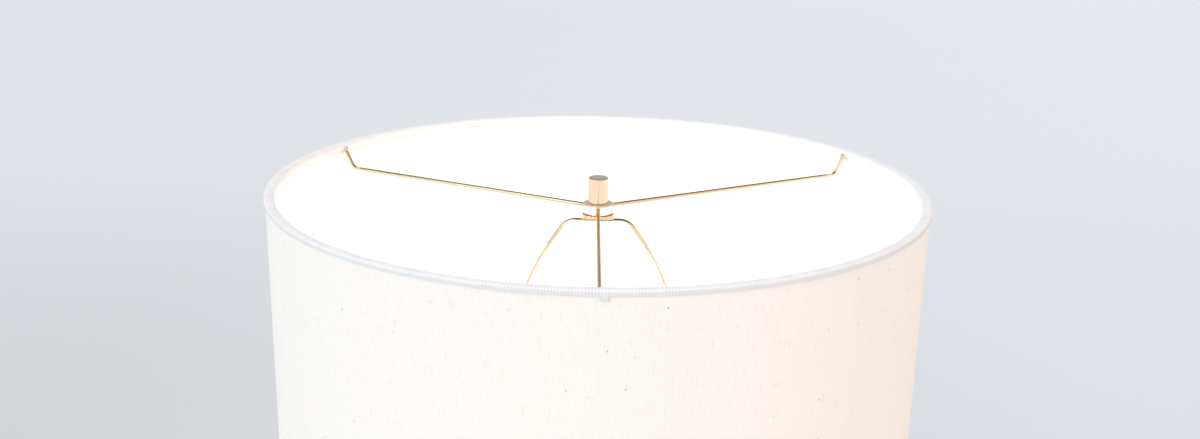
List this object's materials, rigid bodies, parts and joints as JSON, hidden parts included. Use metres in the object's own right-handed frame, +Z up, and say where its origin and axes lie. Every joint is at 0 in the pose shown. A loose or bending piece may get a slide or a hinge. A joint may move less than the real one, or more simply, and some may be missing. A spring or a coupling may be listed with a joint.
{
  "type": "tripod table lamp",
  "caption": "Table lamp with a straight linen drum shade on a wire spider and harp, a plain brass finial, a brass neck, a turned wooden hub and splayed wooden legs.",
  "frame": {"origin": "on the surface that the lamp stands on, under the lamp's axis", "axes": "+Z up along the lamp's axis, -Y the front, which the switch knob and the front leg face, +X to the right"},
  "size_m": [0.4077, 0.4076, 0.6916],
  "materials": {
    "oak": "clear satin lacquer",
    "polished_brass": "polished, lacquered",
    "brass_wire": "brass plated, bright",
    "pressed_brass": "satin",
    "zinc_plated_steel": "zinc plated",
    "nickelled_shell": "nickel plated",
    "black_nylon": "moulded, matt",
    "foot_rubber": "matt",
    "fibre_card": "pressed fibre",
    "white_plastic": "moulded, semi-gloss",
    "frosted_globe": "frosted, lit",
    "white_styrene": "matt white sheet",
    "linen": "plain-woven, off-white",
    "cotton_tape": "ribbed tape"
  },
  "bodies": {
    "base": {"hub": "oak", "hub_top_plate": "polished_brass", "hub_bottom_plate": "pressed_brass", "hub_plate_screws": "zinc_plated_steel", "cord_bushing": "black_nylon", "lamp_pipe": "zinc_plated_steel", "pipe_nut": "zinc_plated_steel", "pipe_lock_washer": "zinc_plated_steel", "neck_tube": "polished_brass", "check_ring": "polished_brass", "harp_saddle": "pressed_brass", "leg_front": "oak", "leg_right": "oak", "leg_left": "oak", "leg_bolts": "zinc_plated_steel", "leg_inserts": "pressed_brass", "leg_ferrules": "polished_brass", "foot_pads": "foot_rubber", "socket_cap": "pressed_brass", "cap_set_screw": "zinc_plated_steel", "socket_shell": "pressed_brass", "socket_card_liner": "fibre_card", "socket_body": "black_nylon", "socket_screw_shell": "nickelled_shell", "socket_contact": "pressed_brass", "terminal_screws": "pressed_brass"},
    "switch": {"switch_shaft": "pressed_brass", "switch_knob": "black_nylon"},
    "bulb": {"bulb_contact": "nickelled_shell", "bulb_insulator": "black_nylon", "bulb_cap": "nickelled_shell", "bulb_housing": "white_plastic", "bulb_globe": "frosted_globe", "led_board": "white_plastic"},
    "harp": {"harp_bow": "brass_wire", "harp_clip": "pressed_brass"},
    "sleeve_left": {"harp_sleeve_left": "pressed_brass"},
    "sleeve_right": {"harp_sleeve_right": "pressed_brass"},
    "stud": {"harp_stud": "polished_brass"},
    "shade": {"spider_washer": "polished_brass", "spider_arm_front": "brass_wire", "spider_arm_right": "brass_wire", "spider_arm_left": "brass_wire", "shade_top_ring": "brass_wire", "shade_bottom_ring": "brass_wire", "shade_liner": "white_styrene", "shade_fabric": "linen", "shade_top_tape": "cotton_tape", "shade_bottom_tape": "cotton_tape"},
    "finial": {"finial": "polished_brass"}
  },
  "joints": [
    {"name": "knob_turn", "type": "hinge", "parent": "base", "child": "switch", "pos_m": [0, -0.0186, 0.4734], "axis": [0, -1, 0], "continuous": true},
    {"name": "bulb_unscrew", "type": "slide", "parent": "base", "child": "bulb", "axis": [0, 0, 1], "range_m": [0, 0.025]},
    {"name": "harp_lift", "type": "slide", "parent": "base", "child": "harp", "axis": [0, 0, 1], "range_m": [0, 0.03]},
    {"name": "sleeve_left_lift", "type": "slide", "parent": "harp", "child": "sleeve_left", "axis": [0, 0, 1], "range_m": [0, 0.016]},
    {"name": "sleeve_right_lift", "type": "slide", "parent": "harp", "child": "sleeve_right", "axis": [0, 0, 1], "range_m": [0, 0.016]},
    {"name": "shade_turn", "type": "hinge", "parent": "harp", "child": "stud", "pos_m": [0, 0, 0.6637], "axis": [0, 0, 1], "continuous": true},
    {"name": "shade_lift", "type": "slide", "parent": "stud", "child": "shade", "axis": [0, 0, 1], "range_m": [0, 0.27]},
    {"name": "finial_unscrew", "type": "slide", "parent": "shade", "child": "finial", "axis": [0, 0, 1], "range_m": [0, 0.03]}
  ]
}
